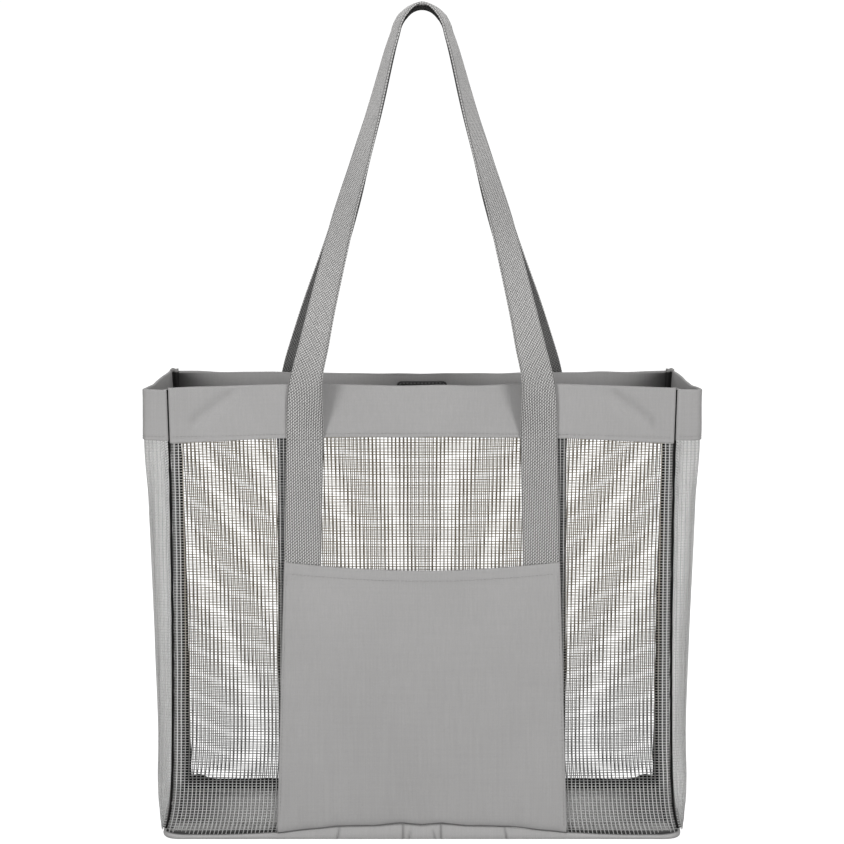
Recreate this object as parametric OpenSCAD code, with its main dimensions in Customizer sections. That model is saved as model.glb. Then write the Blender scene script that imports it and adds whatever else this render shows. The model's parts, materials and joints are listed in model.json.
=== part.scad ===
// Beach bag: an open tote of coated mesh with a cloth band round its rim, a cloth base that turns up
// at its edge, a cloth pocket on the front and two webbing handles.
// +Z is up, the front faces -Y, and the origin is on the floor under the middle of the bag.

/* [Body] */
// Height of the body, floor to rim
body_h = 390; // [350:5:430]
// Depth of the base, front to back
base_d = 152; // [140:2:170]
// How much less deep the body is at its rim
depth_taper = 15; // [0:1:24]
// Width of the front panel between its seams, half way up
panel_w = 427; // [400:1:460]
// How far the front rim bows in at its middle
front_bow = 25.5; // [15:0.5:30]
// How far the rear rim bows in at its middle
rear_bow = 30; // [15:0.5:32]
// Width of the whole body at its rim
rim_w = 474; // [466:1:500]
/* [Cloth] */
// Thickness of the coated mesh
mesh_t = 0.8; // [0.6:0.1:1]
// Thickness of the rim band, all its layers together
band_t = 2.6; // [2.4:0.1:3]
// Height of the rim band
band_h = 44; // [30:0.5:55]
// Thickness of the base cloth
base_t = 1.2; // [0.8:0.1:1.6]
// Height of the base's turned-up edge
base_rim_h = 10.4; // [6:0.2:16]
// Height of the tape on the base seam, inside the bag
base_binding_h = 13; // [6:0.5:16]
// Width of the binding tape on the seams
binding_w = 8.5; // [6:0.5:10]
// Thickness of the binding tape, folded over the seam
binding_t = 1.6; // [1:0.1:2]
/* [Webbing] */
// Width of the webbing
webbing_w = 31.5; // [28:0.5:34]
// Thickness of the webbing
webbing_t = 1.8; // [1.2:0.1:2]
// Distance from the middle to a front strap, where it leaves the band
front_strap_x = 99.6; // [98:0.2:106]
// Distance from the middle to a rear strap, where it leaves the band
rear_strap_x = 113; // [106:0.5:116]
// How much further from the middle a front strap is at the base
front_strap_spread = 7; // [0:0.5:8]
// How much further from the middle a rear strap is at the base
rear_strap_spread = 2; // [0:0.5:8]
/* [Pocket] */
// Height of the pocket at its sides
pocket_h = 230; // [180:5:260]
// How much lower the pocket's mouth is in its middle
pocket_sag = 6; // [0:1:12]
// How far the pocket's mouth stands out in its middle
pocket_bulge = 10; // [9:0.5:12]
// Thickness of the pocket cloth
pocket_t = 0.9; // [0.6:0.1:1.2]
// Height of the turned hem along the pocket's mouth
pocket_hem_h = 11; // [8:1:16]
/* [Closure] */
// Width of the hook and loop patches
patch_w = 44; // [30:2:60]
// Height of the hook and loop patches
patch_h = 25; // [16:1:30]
// Thickness of the hook and loop patches
patch_t = 1.5; // [1:0.1:2]
/* [Hidden] */
// Clearance between neighbouring layers
gap = 0.3;
// Moves the body back, so that the pocket's bulge leaves the origin central
centre_y = 2.1;
// Lowest point of the mesh, above the base's edge
mesh_z0 = base_rim_h + 0.5;
// Highest point of the mesh, tucked into the band
mesh_z1 = body_h - band_h + 11;
band_z0 = body_h - band_h;
// Depth of the slot in the band that holds the mesh
slot_z1 = mesh_z1 + 0.6;
// Height at which a handle leaves the band, along the band's lower stitches
hinge_z = band_z0 + 4;
// Offsets from the middle of a panel's cloth to the webbing sewn on it
strap_n0 = band_t / 2 + gap;
strap_n1 = strap_n0 + webbing_t;
strap_n = (strap_n0 + strap_n1) / 2;
pocket_n0 = strap_n1 + gap;
pocket_n1 = pocket_n0 + pocket_t;
pocket_z0 = mesh_z0 + 0.4;
pocket_z1 = pocket_z0 + pocket_h;
thread_t = 0.4;
thread_h = 0.8;
// Height of a row of stitches above the cloth it holds
thread_lift = 0.25;

// Rise of a handle from the band to its crown: distance from the middle, distance out from the
// band, height above the band and turn of the webbing about its own length, in degrees.
FRONT_RISE = [[99.6, 0, 0, -5.2], [98.2, 4.5, 43, 28], [90.3, 2.5, 77, 38], [82.6, -1.5, 110, 47],
    [66.3, -8.5, 174, 55], [50.3, -17, 236, 62], [40.4, -23, 273, 69], [29.4, -29, 316, 75.5],
    [25.4, -31, 329.5, 77], [22.7, -33, 338, 78], [20.8, -34.5, 344.5, 79], [17.9, -36, 350.5, 80.5],
    [15.2, -37, 354.1, 82.5], [11.3, -37.8, 357.9, 85.5], [6, -38.3, 361.2, 88.5], [0, -38.5, 362.9, 90]];
REAR_RISE = [[113, 0, 0, -6.4], [109.2, 4.5, 40, 24], [102.2, 3.5, 67, 31], [91.5, 1, 103, 38],
    [80.1, -4, 138, 45], [63.4, -11, 191, 54], [54, -17, 226, 60], [40.2, -23.5, 273, 68],
    [29.6, -28, 313, 75], [25.8, -30, 327, 77], [23.2, -31.5, 335.5, 78.5], [21.3, -32.8, 341.8, 79.5],
    [18.8, -34.2, 346.8, 80.5], [16.2, -34.8, 350.4, 81], [12.8, -35.3, 354.1, 81.5], [9, -35.7, 356.9, 82],
    [4.6, -36, 358.6, 82.5], [0, -36, 359.1, 83]];
rings_per_span = 2;

function mix(a, b, u) = a + (b - a) * u;
function unit(v) = v / norm(v);
function level(z) = z / body_h;
function steps(a, b, count) = [for (i = [0:count]) mix(a, b, i / count)];

// Half widths of the body at the height z: at the front seams, the rear seams and the widest point
function flare(z) = exp(-z / 22);
function front_half(z) = panel_w / 2 + 11 * flare(z) + 2.5 * pow(level(z), 5);
function rear_half(z) = panel_w / 2 + 1 + 9 * flare(z) + 8.8 * pow(level(z), 3);
function side_half(z) = max(front_half(z) + 1, mix(224.5, rim_w / 2, pow(level(z), 1.1)) - 2.5 * exp(-z / 5));
function half_depth(z) = base_d / 2 - depth_taper / 2 * level(z);
function bow(z, most) = most * pow(level(z), 2);

// Point of the front panel at x and z, n outside the middle of its cloth
function front_point(x, n, z) =
    let (half = front_half(z), deep = bow(z, front_bow))
    let (y = -half_depth(z) + deep * (1 - pow(x / half, 2)), slope = -2 * deep * x / pow(half, 2))
    let (out = unit([slope, -1]))
    [x + n * out[0], centre_y + y + n * out[1], z];
// The same on the rear panel
function rear_point(x, n, z) =
    let (half = rear_half(z), deep = bow(z, rear_bow))
    let (y = half_depth(z) - deep * (1 - pow(x / half, 2)), slope = 2 * deep * x / pow(half, 2))
    let (out = unit([-slope, 1]))
    [x + n * out[0], centre_y + y + n * out[1], z];

// Plan of the right gusset: from the front seam straight out, round a corner and back to the rear seam
function gusset_plan(u, z) =
    let (start = [front_half(z), -half_depth(z)], corner = [side_half(z), -half_depth(z) + 4])
    let (end = [rear_half(z), half_depth(z)], r = min(5, 0.6 * norm(corner - start)))
    let (a = corner + r * unit(start - corner), b = corner + r * unit(end - corner))
    let (w = min(1, max(0, (u - 0.1) / 0.1)))
    u < 0.1 ? mix(start, a, u / 0.1)
    : u < 0.2 ? (1 - w) * (1 - w) * a + 2 * w * (1 - w) * corner + w * w * b
    : mix(b, end, (u - 0.2) / 0.8);
function gusset_point(u, n, z) =
    let (p = gusset_plan(u, z), ahead = unit(gusset_plan(u + 0.004, z) - gusset_plan(u - 0.004, z)))
    [p[0] + n * ahead[1], centre_y + p[1] - n * ahead[0], z];

// Sections are lists of [n, z], clockwise with n to the right and z up
function slab(n0, n1, heights) =
    let (last = len(heights) - 1)
    concat([for (z = heights) [n0, z]], [for (i = [last:-1:0]) [n1, heights[i]]]);
function band_section() =
    let (out = band_t / 2, slot = mesh_t / 2 + 0.3, bend = 0.7)
    [[-out, band_z0], [-out, mix(band_z0, body_h, 0.5)], [-out, body_h - 1.5], [-bend, body_h],
    [bend, body_h], [out, body_h - 1.5], [out, mix(band_z0, body_h, 0.5)], [out, band_z0],
    [slot, band_z0], [slot, slot_z1], [-slot, slot_z1], [-slot, band_z0]];
// End of a section, as flat faces between its points: a slab's rungs, or the parts of the band
function rungs(m) = [for (k = [0:m / 2 - 2]) [k, k + 1, m - 2 - k, m - 1 - k]];
BAND_END = [[0, 1, 10, 11], [1, 2, 5, 6, 9, 10], [2, 3, 4, 5], [6, 7, 8, 9]];
function backwards(list) = [for (i = [len(list) - 1:-1:0]) list[i]];
function halves(quad) = [[quad[0], quad[1], quad[2]], [quad[0], quad[2], quad[3]]];

// Solid swept from u = 0 to u = 1, where at(u, n, z) places a section's point
module sweep(section, at, count) {
    m = len(section);
    points = [for (i = [0:count]) for (q = section) at(i / count, q[0], q[1])];
    sides = [for (i = [0:count - 1]) for (k = [0:m - 1]) each halves(
        [i * m + k, (i + 1) * m + k, (i + 1) * m + (k + 1) % m, i * m + (k + 1) % m])];
    start = section == band_section() ? BAND_END : rungs(m);
    end = [for (face = start) [for (k = backwards(face)) count * m + k]];
    polyhedron(points, concat(sides, start, end), convexity = 8);
}

// Sweeps along the front and rear panels from x0 to x1, and along a gusset from u0 to u1
module on_front(section, x0, x1, count) {
    sweep(section, function(u, n, z) front_point(mix(x0, x1, u), n, z), count);
}
module on_rear(section, x0, x1, count) {
    sweep(section, function(u, n, z) rear_point(mix(x1, x0, u), n, z), count);
}
module on_gusset(section, u0, u1, count) {
    sweep(section, function(u, n, z) gusset_point(mix(u0, u1, u), n, z), count);
}
module left_side() {
    mirror([1, 0, 0]) children();
}

// The same, from seam to seam, where the ends follow the seams
module across_front(section, count) {
    sweep(section, function(u, n, z) front_point(mix(-1, 1, u) * (front_half(z) - gap), n, z), count);
}
module across_rear(section, count) {
    sweep(section, function(u, n, z) rear_point(mix(1, -1, u) * (rear_half(z) + band_t / 2), n, z), count);
}
// A gusset starts just past the front seam and stops short of the rear panel
gusset_u0 = 0.015;
gusset_u1 = 0.984;
module across_gusset(section, count) {
    on_gusset(section, gusset_u0, gusset_u1, count);
}

mesh_section = slab(-mesh_t / 2, mesh_t / 2, steps(mesh_z0, mesh_z1, 8));
module front_mesh_panel() {
    color("gainsboro") across_front(mesh_section, 14);
}
module rear_mesh_panel() {
    color("gainsboro") across_rear(mesh_section, 14);
}
module right_gusset_mesh() {
    color("lightgray") across_gusset(mesh_section, 20);
}
module left_gusset_mesh() {
    left_side() right_gusset_mesh();
}

module front_top_band() {
    color("darkgray") across_front(band_section(), 14);
}
module rear_top_band() {
    color("darkgray") across_rear(band_section(), 14);
}
module right_top_band() {
    color("darkgray") across_gusset(band_section(), 20);
}
module left_top_band() {
    left_side() right_top_band();
}

// Plan of the base, drawn in by the distance inset
base_half_w = 221;
base_corner_r = 10;
module base_plan(inset) {
    w = base_half_w - inset;
    d = base_d / 2 - inset;
    r = base_corner_r - inset;
    translate([0, centre_y]) {
        square([2 * w, 2 * (d - r)], center = true);
        square([2 * (w - r), 2 * d], center = true);
        for (sx = [-1, 1]) for (sy = [-1, 1]) {
            translate([sx * (w - r), sy * (d - r)]) circle(r, $fn = 32);
        }
    }
}
module base_panel() {
    color("silver") difference() {
        linear_extrude(base_rim_h) base_plan(0);
        translate([0, 0, base_t]) linear_extrude(base_rim_h) base_plan(base_t);
    }
}
module base_binding() {
    inner = base_t + 4 * gap;
    color("dimgray") translate([0, 0, base_t + gap]) difference() {
        linear_extrude(base_binding_h) base_plan(inner);
        translate([0, 0, -1]) linear_extrude(base_binding_h + 2) base_plan(inner + binding_t);
    }
}

// Tape over the upright seams: it lies inside the panels, just in from the seam
binding_in = 2;
binding_n0 = -band_t / 2 - gap - binding_t;
binding_z0 = base_t + 2 * gap + base_binding_h;
binding_section = slab(binding_n0, binding_n0 + binding_t, steps(binding_z0, body_h - 1, 8));
module front_right_binding() {
    color("gray") sweep(binding_section,
        function(u, n, z) front_point(front_half(z) - binding_in - binding_w * (1 - u), n, z), 2);
}
module front_left_binding() {
    left_side() front_right_binding();
}
module rear_right_binding() {
    color("gray") sweep(binding_section,
        function(u, n, z) rear_point(rear_half(z) - binding_in - binding_w * u, n, z), 2);
}
module rear_left_binding() {
    left_side() rear_right_binding();
}

// Pocket: sewn flat over the front straps, and standing off the mesh between them
function pocket_half(z) = front_strap_x + webbing_w / 2 + 0.5 + (front_strap_spread - 2) * (1 - z / hinge_z);
function pocket_flat_x() = front_strap_x - webbing_w / 2;
function pocket_point(u, n, z) =
    let (half = pocket_half(z), x = mix(-half, half, u), across = 1 - pow(x / half, 2))
    let (rise = max(0, (z - pocket_z0) / pocket_h), held = max(abs(x), pocket_flat_x()))
    let (y = front_point(held, n, z)[1] - pocket_bulge * across * sqrt(rise))
    [x, y, z - pocket_sag * across * pow(rise, 3)];
module front_pocket() {
    top = pocket_z1 - gap;
    color("darkgray") sweep(slab(-pocket_n1, -pocket_n0, steps(top, pocket_z0, 10)),
        function(u, n, z) pocket_point(1 - u, -n, z), 20);
}
// Hem: the cloth turned over outside the pocket's mouth
module pocket_hem() {
    n0 = pocket_n1 + 0.1;
    color("silver") sweep(slab(-n0 - 0.8, -n0, steps(pocket_z1, pocket_z1 - pocket_hem_h, 1)),
        function(u, n, z) pocket_point(1 - u, -n, z), 20);
}

// Straps: webbing sewn flat on the panels, from the base seam up to the band's lower stitches
strap_z1 = hinge_z - 1.7;
strap_section = slab(strap_n0, strap_n1, steps(mesh_z0 + 0.2, strap_z1, 8));
function front_strap_at(z) = front_strap_x + front_strap_spread * (1 - z / hinge_z);
function rear_strap_at(z) = rear_strap_x + rear_strap_spread * (1 - z / hinge_z);
module front_strap(side) {
    at = function(u, n, z) front_point(side * front_strap_at(z) + mix(-1, 1, u) * webbing_w / 2, n, z);
    color("slategray") sweep(strap_section, at, 3);
}
module rear_strap(side) {
    at = function(u, n, z) rear_point(side * rear_strap_at(z) + mix(1, -1, u) * webbing_w / 2, n, z);
    color("slategray") sweep(strap_section, at, 3);
}
module front_left_strap() {
    front_strap(-1);
}
module front_right_strap() {
    front_strap(1);
}
module rear_left_strap() {
    rear_strap(-1);
}
module rear_right_strap() {
    rear_strap(1);
}

// Curve through four-part points, for u from 0 to the number of spans
function curve(p, u) =
    let (last = len(p) - 1, i = max(0, min(last - 1, floor(u))), t = u - i)
    let (a = p[i], b = p[i + 1], before = i > 0 ? p[i - 1] : 2 * a - b)
    let (after = i + 2 <= last ? p[i + 2] : 2 * b - a)
    0.5 * (2 * a + (b - before) * t + (2 * before - 5 * a + 4 * b - after) * t * t
        + (3 * a - before - 3 * b + after) * t * t * t);
// Whole loop, from the left end over the crown to the right end
function loop_route(rise) =
    let (top = len(rise) - 1)
    concat([for (p = rise) [-p[0], p[1], p[2], p[3]]], [for (i = [top - 1:-1:0]) rise[i]]);
// One ring of the webbing: its outer face turns from the front, by the turn, to the outside
function ring(route, u, foot_y) =
    let (p = curve(route, u), q = curve(route, u + 0.02), o = curve(route, u - 0.02))
    let (flow = unit([q[0] - o[0], o[1] - q[1], q[2] - o[2]]), front = [0, -1, 0])
    let (n0 = unit(front - (front * flow) * flow), n1 = cross(n0, flow))
    let (out = cos(p[3]) * n0 + sin(p[3]) * n1, wide = cross(flow, out))
    let (middle = [p[0], foot_y - p[1], hinge_z + p[2]], w = webbing_w / 2, t = webbing_t / 2)
    [for (s = [[-t, -w], [t, -w], [t, w], [-t, w]]) middle + s[0] * out + s[1] * wide];
module loop(rise, foot_y) {
    route = loop_route(rise);
    count = rings_per_span * (len(route) - 1);
    points = [for (i = [0:count]) each ring(route, i / rings_per_span, foot_y)];
    sides = [for (i = [0:count - 1]) for (k = [0:3]) each halves(
        [i * 4 + k, (i + 1) * 4 + k, (i + 1) * 4 + (k + 1) % 4, i * 4 + (k + 1) % 4])];
    ends = [[0, 1, 2, 3], [for (k = [3:-1:0]) count * 4 + k]];
    polyhedron(points, concat(sides, ends), convexity = 8);
}
front_foot_y = front_point(front_strap_x, strap_n, hinge_z)[1];
rear_foot_y = rear_point(rear_strap_x, strap_n, hinge_z)[1];
module front_handle() {
    color("slategray") loop(FRONT_RISE, front_foot_y);
}
module rear_handle() {
    color("slategray") mirror([0, 1, 0]) loop(REAR_RISE, -rear_foot_y);
}

// Patches: hook on the rear band, loop on the front band, face to face inside the mouth
patch_z1 = body_h - 7;
patch_n1 = -band_t / 2 - gap;
patch_section = slab(patch_n1 - patch_t, patch_n1, [patch_z1 - patch_h, patch_z1]);
module hook_patch() {
    color("dimgray") on_rear(patch_section, -patch_w / 2, patch_w / 2, 4);
}
module loop_patch() {
    color("dimgray") on_front(patch_section, -patch_w / 2, patch_w / 2, 4);
}

// Thread: a row of stitches is one flat strip, a little above the cloth it holds
function thread_row(n, z) = slab(n, n + thread_t, [z, z + thread_h]);
module band_stitching() {
    n = band_t / 2 + thread_lift;
    z = band_z0 + 2;
    clear = webbing_w / 2 + 1;
    color("white") {
        on_front(thread_row(n, z), -front_half(z) + 2, -front_strap_x - clear, 4);
        on_front(thread_row(n, z), -front_strap_x + clear, front_strap_x - clear, 8);
        on_front(thread_row(n, z), front_strap_x + clear, front_half(z) - 2, 4);
        on_rear(thread_row(n, z), -rear_half(z) + 2, -rear_strap_x - clear, 4);
        on_rear(thread_row(n, z), -rear_strap_x + clear, rear_strap_x - clear, 8);
        on_rear(thread_row(n, z), rear_strap_x + clear, rear_half(z) - 2, 4);
        on_gusset(thread_row(n, z), 0.2, 0.97, 4);
        left_side() on_gusset(thread_row(n, z), 0.2, 0.97, 4);
    }
}
module pocket_stitching() {
    n = pocket_n1 + 0.9 + thread_lift;
    z = pocket_z1 - pocket_hem_h + 2;
    color("white") sweep(slab(-n - thread_t, -n, [z + thread_h, z]),
        function(u, n, z) pocket_point(1 - u, -n, z), 16);
}
// Straps: one row across each strap at the top of its sewn length
module strap_stitching() {
    z = strap_z1 - 3;
    reach = webbing_w / 2 - 2;
    color("white") for (side = [-1, 1]) {
        front_x = side * front_strap_at(z);
        rear_x = side * rear_strap_at(z);
        on_front(thread_row(strap_n1 + thread_lift, z), front_x - reach, front_x + reach, 2);
        on_rear(thread_row(strap_n1 + thread_lift, z), rear_x - reach, rear_x + reach, 2);
    }
}
// Patches: a row along the top and the bottom edge of each
module patch_stitching() {
    n = patch_n1 - patch_t - thread_lift - thread_t;
    reach = patch_w / 2 - 2;
    color("white") for (z = [patch_z1 - 2.5, patch_z1 - patch_h + 1.7]) {
        on_front(thread_row(n, z), -reach, reach, 4);
        on_rear(thread_row(n, z), -reach, reach, 4);
    }
}

front_mesh_panel();
rear_mesh_panel();
left_gusset_mesh();
right_gusset_mesh();
front_top_band();
rear_top_band();
left_top_band();
right_top_band();
base_panel();
base_binding();
front_left_binding();
front_right_binding();
rear_left_binding();
rear_right_binding();
front_pocket();
pocket_hem();
front_left_strap();
front_right_strap();
rear_left_strap();
rear_right_strap();
front_handle();
rear_handle();
hook_patch();
loop_patch();
band_stitching();
pocket_stitching();
strap_stitching();
patch_stitching();
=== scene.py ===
"""Beach bag: mesh tote with a cloth rim band, cloth base, front pocket and two webbing handles.

Lengths here are millimetres, in the frame's axes, and turn into metres when a mesh is made.
"""

import json
from math import atan2, cos, hypot, pi, radians, sin, tau

import bpy
import numpy as np
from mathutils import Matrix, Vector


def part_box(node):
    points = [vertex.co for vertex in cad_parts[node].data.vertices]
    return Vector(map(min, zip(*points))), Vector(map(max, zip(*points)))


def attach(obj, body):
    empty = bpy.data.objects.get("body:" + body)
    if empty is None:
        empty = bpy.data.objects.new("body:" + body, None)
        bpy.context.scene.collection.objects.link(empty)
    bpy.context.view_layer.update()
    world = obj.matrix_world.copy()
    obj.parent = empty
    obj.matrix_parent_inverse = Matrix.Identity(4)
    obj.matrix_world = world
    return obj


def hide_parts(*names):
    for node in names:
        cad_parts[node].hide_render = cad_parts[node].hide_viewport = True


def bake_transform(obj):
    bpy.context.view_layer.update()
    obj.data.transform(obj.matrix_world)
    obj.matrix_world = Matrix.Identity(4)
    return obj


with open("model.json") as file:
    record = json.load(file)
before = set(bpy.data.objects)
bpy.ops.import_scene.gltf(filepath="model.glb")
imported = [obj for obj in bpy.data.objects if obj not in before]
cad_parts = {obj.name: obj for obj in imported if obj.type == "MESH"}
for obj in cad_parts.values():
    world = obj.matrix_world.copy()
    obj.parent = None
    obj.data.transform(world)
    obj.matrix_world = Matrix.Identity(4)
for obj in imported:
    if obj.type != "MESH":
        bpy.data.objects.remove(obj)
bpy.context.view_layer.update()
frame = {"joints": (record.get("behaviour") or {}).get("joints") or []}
MM = 0.001


# ---- sizes from the frame
def span(node):
    """Lowest and highest corner of a CAD node, in millimetres."""
    low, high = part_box(node)
    return np.array(low) / MM, np.array(high) / MM


def joint_point(name):
    joint = next(j for j in frame["joints"] if j["name"] == name)
    return np.array(joint["pos_m"]) / MM


BASE_LOW, BASE_HIGH = span("base_panel")
BAND_Z0, BODY_H = (corner[2] for corner in span("front_top_band"))
BASE_D = BASE_HIGH[1] - BASE_LOW[1]
BASE_HALF_W = BASE_HIGH[0] + 2
BASE_CORNER_R = 14.0
CENTRE_Y = (BASE_HIGH[1] + BASE_LOW[1]) / 2
HINGE_Z = joint_point("front_handle_swing")[2]

# Cloth and webbing. MESH_Z1, FRONT_RISE and side_half differ a little from the CAD.
BAND_T = 2.6
MESH_Z1 = BAND_Z0 + 7.6
WEBBING_W = 31.5
WEBBING_T = 1.8
STRAP_N = BAND_T / 2 + 0.3 + WEBBING_T / 2
POCKET_N = BAND_T / 2 + 0.3 + WEBBING_T + 0.3
FRONT_STRAP_X = 99.6
REAR_STRAP_X = 113.0
FRONT_STRAP_SPREAD = 7.0
REAR_STRAP_SPREAD = 2.0
PANEL_W = 427.0
RIM_W = 474.0
GUSSET_W = 158.0
DEPTH_TAPER = 15.0
FRONT_BOW = 25.5
REAR_BOW = 30.0
POCKET_H = 230.0
POCKET_Z1 = span("pocket_hem")[1][2]
POCKET_Z0 = POCKET_Z1 - POCKET_H
POCKET_SAG = 6.0
POCKET_BULGE = 9.0
POCKET_T = 0.9
POCKET_STITCH_Z = POCKET_Z1 - 9.5
POCKET_STITCH_IN = 2.2
STITCH_Z = BAND_Z0 + 3.2
STITCH_PITCH = 3.2
SEAM_GAP = 0.75
SEAM_Z = 7.0
SIDES = (("right", 1), ("left", -1))

# Rise of each handle from the band to its crown: distance from the middle, distance out from the
# band, height above the band and turn of the webbing about its own length, in degrees.
FRONT_RISE = [
    [99.6, 0, 0, -5.2], [98.6, 4.5, 43, 27], [91.3, 2.5, 77, 36], [84.1, -1.5, 110, 43],
    [68.6, -8.5, 174, 51.5], [62.1, -11.8, 198, 56], [50.6, -17, 236, 62], [40.4, -23, 273, 69],
    [29.4, -29, 316, 75.5], [25.4, -31, 329.5, 77], [22.7, -33, 338, 78], [20.8, -34.5, 344.5, 79],
    [17.9, -36, 350.5, 80.5], [15.2, -37, 354.1, 82.5], [11.3, -37.8, 357.9, 85.5],
    [6, -38.3, 361.2, 88.5], [0, -38.5, 362.9, 90],
]
REAR_RISE = [
    [113, 0, 0, -6.4], [109.2, 4.5, 40, 24], [102.2, 3.5, 67, 31], [91.5, 1, 103, 38],
    [80.1, -4, 138, 45], [63.4, -11, 191, 54], [54, -17, 226, 60], [40.2, -23.5, 273, 68],
    [29.6, -28, 313, 75], [25.8, -30, 327, 77], [23.2, -31.5, 335.5, 78.5], [21.3, -32.8, 341.8, 79.5],
    [18.8, -34.2, 346.8, 80.5], [16.2, -34.8, 350.4, 81], [12.8, -35.3, 354.1, 81.5], [9, -35.7, 356.9, 82],
    [4.6, -36, 358.6, 82.5], [0, -36, 359.1, 83],
]


# ---- the body's shape
def mix(a, b, u):
    return a + (b - a) * u


def unit(v):
    return v / np.maximum(np.linalg.norm(v, axis=-1, keepdims=True), 1e-9)


def same_shape(*values):
    return np.broadcast_arrays(*(np.asarray(value, float) for value in values))


def smooth_step(u):
    u = np.clip(u, 0, 1)
    return u * u * (3 - 2 * u)


def bump(x, width):
    """A smooth hump of height 1 at x = 0."""
    return np.exp(-((x / width) ** 2))


def ripple(a, b, size, seed):
    """Smooth, seeded unevenness, mostly between -1 and 1, over the coordinates a and b."""
    draw = np.random.default_rng(seed)
    total = 0.0
    for k in range(5):
        angle, phase = draw.uniform(0, tau, 2)
        wave = tau / (size * draw.uniform(0.6, 1.5))
        total = total + np.sin((a * cos(angle) + b * sin(angle)) * wave + phase)
    return total / 3


def flare(z):
    """How much the panels widen toward their foot, from 0 to 1."""
    return np.exp(-z / 22)


# Half widths at the height z: of the front panel, of the rear one and at the gussets' front corners
def front_half(z):
    return PANEL_W / 2 + 11 * flare(z) + 2.5 * (z / BODY_H) ** 5 - 0.9 * smooth_step((z - 60) / 140)


def rear_half(z):
    return PANEL_W / 2 + 1 + 9 * flare(z) + 8.8 * (z / BODY_H) ** 3


def side_half(z):
    wide = mix(224.5, RIM_W / 2, np.maximum(z / BODY_H, 0) ** 1.1)
    low = 2.3 * bump(z - 44, 32) - 2.5 * np.exp(-z / 5)
    under_band = 1.7 * smooth_step((z - 290) / 50) * (1 - 0.9 * smooth_step((z - BAND_Z0) / 44))
    trim = 0.7 * smooth_step((z - 60) / 80)
    return np.maximum(front_half(z) + 1, wide + low + under_band - trim)


def half_depth(z):
    return BASE_D / 2 - DEPTH_TAPER / 2 * z / BODY_H


def corner_pull(z):
    """How far the front seams turn back where they meet the base's round corners."""
    return 5 * np.exp(-z / 16)


def seam_tuck(d):
    """How far cloth dives in at a seam, at the distance d from it."""
    return 1.3 * bump(d - SEAM_GAP, 0.9)


def panel(side, x, n, z, tuck=True):
    """Point of the front (-1) or rear (+1) panel at x and z, n outside the middle of its cloth."""
    x, n, z = same_shape(x, n, z)
    half = front_half(z) if side < 0 else rear_half(z)
    deep = (FRONT_BOW if side < 0 else REAR_BOW) * (z / BODY_H) ** 2
    part = np.clip(x / half, -1.02, 1.02)
    y = half_depth(z) - deep * (1 - part**2) - corner_pull(z) * np.abs(part) ** 10
    slope = 2 * deep * x / half**2
    length = np.sqrt(1 + slope**2)
    out = n + 0.7 * ripple(x, z, 150, 3 if side < 0 else 4) * (1 - part**4) * np.minimum(z / 60, 1)
    if tuck and side < 0:
        out = out - seam_tuck(half - np.abs(x))
    return np.stack([x - out * slope / length, CENTRE_Y + side * (y + out / length), z], -1)


def front(x, n, z):
    return panel(-1, x, n, z)


def rear(x, n, z):
    return panel(1, x, n, z)


def gusset_plan(s, z):
    """Plan of the right gusset at the share s of its length: out from the front seam, round, and back."""
    start = np.stack([front_half(z), -half_depth(z) + corner_pull(z)], -1)
    corner = np.stack([side_half(z), -half_depth(z) + corner_pull(z) + 4], -1)
    end = np.stack([rear_half(z), half_depth(z) - corner_pull(z)], -1)
    first = np.linalg.norm(corner - start, axis=-1, keepdims=True)
    last = np.linalg.norm(end - corner, axis=-1, keepdims=True)
    r = np.minimum(6, 0.6 * first)
    a = corner + r * (start - corner) / first
    b = corner + r * (end - corner) / last
    s = s[..., None]
    s1 = (first - r) / (first + last - 0.4 * r)
    s2 = s1 + 1.6 * r / (first + last - 0.4 * r)
    w = np.clip((s - s1) / (s2 - s1), 0, 1)
    bend = (1 - w) ** 2 * a + 2 * w * (1 - w) * corner + w**2 * b
    along = (s - s2) / (1 - s2)
    straight = mix(b, end, np.maximum(along, 0))
    belly = np.sin(pi * np.clip(along[..., 0], 0, 1)) * np.sin(pi * np.clip(z / BODY_H, 0, 1))
    straight[..., 0] += 3.0 * belly
    return np.where(s < s1, mix(start, a, s / s1), np.where(s < s2, bend, straight))


def gusset(s, n, z, side, tuck=True):
    """Point of the right (+1) or left (-1) gusset; s runs from the front seam to the rear one."""
    s, n, z = same_shape(s, n, z)
    step = 0.004
    here = gusset_plan(s, z)
    ahead = unit(gusset_plan(s + step, z) - gusset_plan(s - step, z))
    length = gusset_length(z)
    out = n - (seam_tuck(s * length) if tuck else 0)
    out = out + 0.6 * ripple(s * length, z, 110, 5 + side) * np.sin(pi * np.clip(s, 0, 1))
    x = side * (here[..., 0] + out * ahead[..., 1])
    return np.stack([x, CENTRE_Y + here[..., 1] - out * ahead[..., 0], z], -1)


def gusset_length(z):
    corner = np.stack([side_half(z) - front_half(z), np.full_like(z, 4.0)], -1)
    back = np.stack([rear_half(z) - side_half(z), 2 * half_depth(z) - 4], -1)
    return np.linalg.norm(corner, axis=-1) + np.linalg.norm(back, axis=-1)


def front_share(s, n, z):
    """Point of the front panel at the share s, from -1 to 1, of its width between the seams."""
    return front(s * (front_half(z) - SEAM_GAP), n, z)


def rear_share(past):
    """The same for the rear panel, drawn past its seams by a little."""
    return lambda s, n, z: rear(s * (rear_half(z) + past), n, z)


def gusset_share(side):
    return lambda s, n, z: gusset(s, n, z, side)


def flat_panel(side):
    """The front or rear panel without the dive at its seams."""
    return lambda x, n, z: panel(side, x, n, z, tuck=False)


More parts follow.
